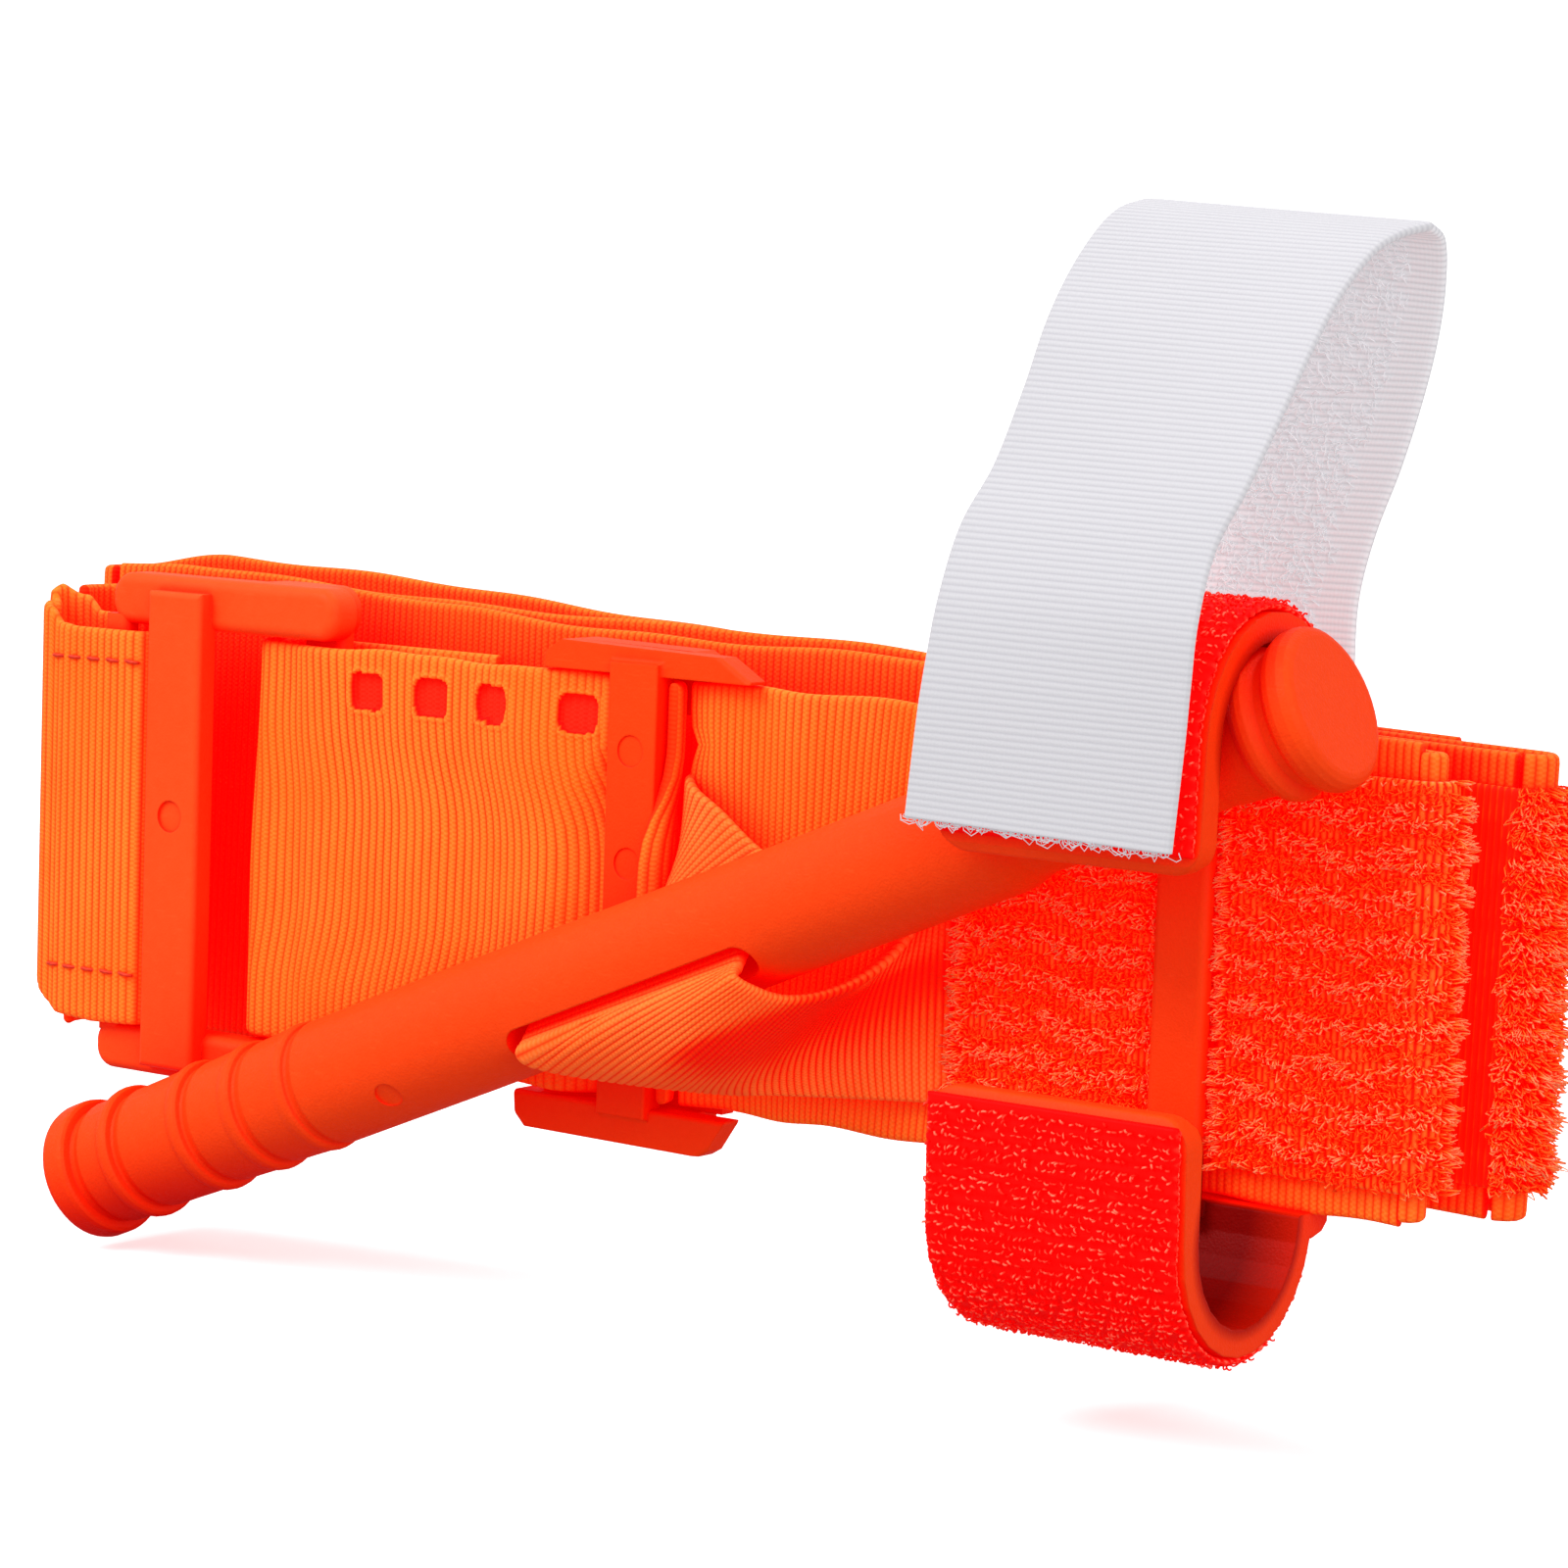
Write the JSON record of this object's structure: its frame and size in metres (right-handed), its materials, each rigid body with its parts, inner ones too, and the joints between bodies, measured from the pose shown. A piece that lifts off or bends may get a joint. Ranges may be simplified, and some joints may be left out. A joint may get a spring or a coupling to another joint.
{
  "type": "windlass tourniquet",
  "caption": "Folded hook-and-loop limb band with a rod windlass held in an open two-hook clip, a rod-retaining strap, a stabilising plate and a routing buckle.",
  "frame": {"origin": "on the rear face of the outermost rear ply (the rear_face mount), level with the band's centreline and behind the middle of the windlass rod", "axes": "+X along the band towards the clip and the right fold, -Y is the front that the windlass is on, +Z across the band's width, up as it stands on its long edge"},
  "size_m": [0.1659, 0.0432, 0.099],
  "materials": {
    "moulded_orange": "fine spark-eroded grain, satin",
    "hook_red": "woven hook fabric with rows of small hooks",
    "band_webbing": "ribbed woven webbing, ribs across the band",
    "loop_pile": "brushed loop pile in rows",
    "inner_webbing": "ribbed woven webbing, finer",
    "strap_white": "fine-ribbed woven tape, brushed on its inner side",
    "thread_orange": "spun polyester thread",
    "thread_white": "spun polyester thread"
  },
  "bodies": {
    "root": {"windlass_clip": "moulded_orange", "upper_hook_patch": "hook_red", "lower_hook_patch": "hook_red", "front_band": "band_webbing", "front_band_hem": "band_webbing", "pile_pad_left": "loop_pile", "pile_pad_right": "loop_pile", "inner_band_left": "inner_webbing", "inner_band_right": "inner_webbing", "keeper_loop": "band_webbing", "keeper_stitching": "thread_orange", "rear_band_inner": "band_webbing", "rear_band_middle": "loop_pile", "rear_band_outer": "band_webbing", "strap_anchor": "strap_white", "strap_stitching": "thread_white", "buckle_loop_stitching": "thread_orange"},
    "windlass": {"windlass_rod": "moulded_orange", "inner_band_core": "inner_webbing"},
    "buckle": {"routing_buckle": "moulded_orange"},
    "plate": {"stabilization_plate": "moulded_orange"},
    "flap": {"strap_flap": "strap_white"},
    "tail": {"tail_tip": "band_webbing", "tail_tip_fold": "band_webbing", "tail_stitching": "thread_orange"}
  },
  "joints": [
    {"name": "windlass_turn", "type": "hinge", "parent": "root", "child": "windlass", "pos_m": [0, -0.02642, -0.0048], "axis": [0, 1, 0], "range_deg": [0, 36], "deforming": ["inner_band_left", "inner_band_right"]},
    {"name": "strap_peel", "type": "hinge", "parent": "root", "child": "flap", "pos_m": [0.051, -0.01204, 0.06095], "axis": [-0.9896, -0.1357, 0.0479], "range_deg": [0, 70]},
    {"name": "buckle_swing", "type": "hinge", "parent": "root", "child": "buckle", "pos_m": [-0.0474, -0.01327, 0], "axis": [0, 0, 1], "range_deg": [-3, 0.5]},
    {"name": "plate_slide", "type": "slide", "parent": "root", "child": "plate", "axis": [1, 0, 0], "range_m": [-0.0012, 0.0012]},
    {"name": "tail_peel", "type": "hinge", "parent": "root", "child": "tail", "pos_m": [0.03616, -0.00192, 0.00077], "axis": [0.0227, 0, 0.9997], "range_deg": [0, 60]}
  ]
}
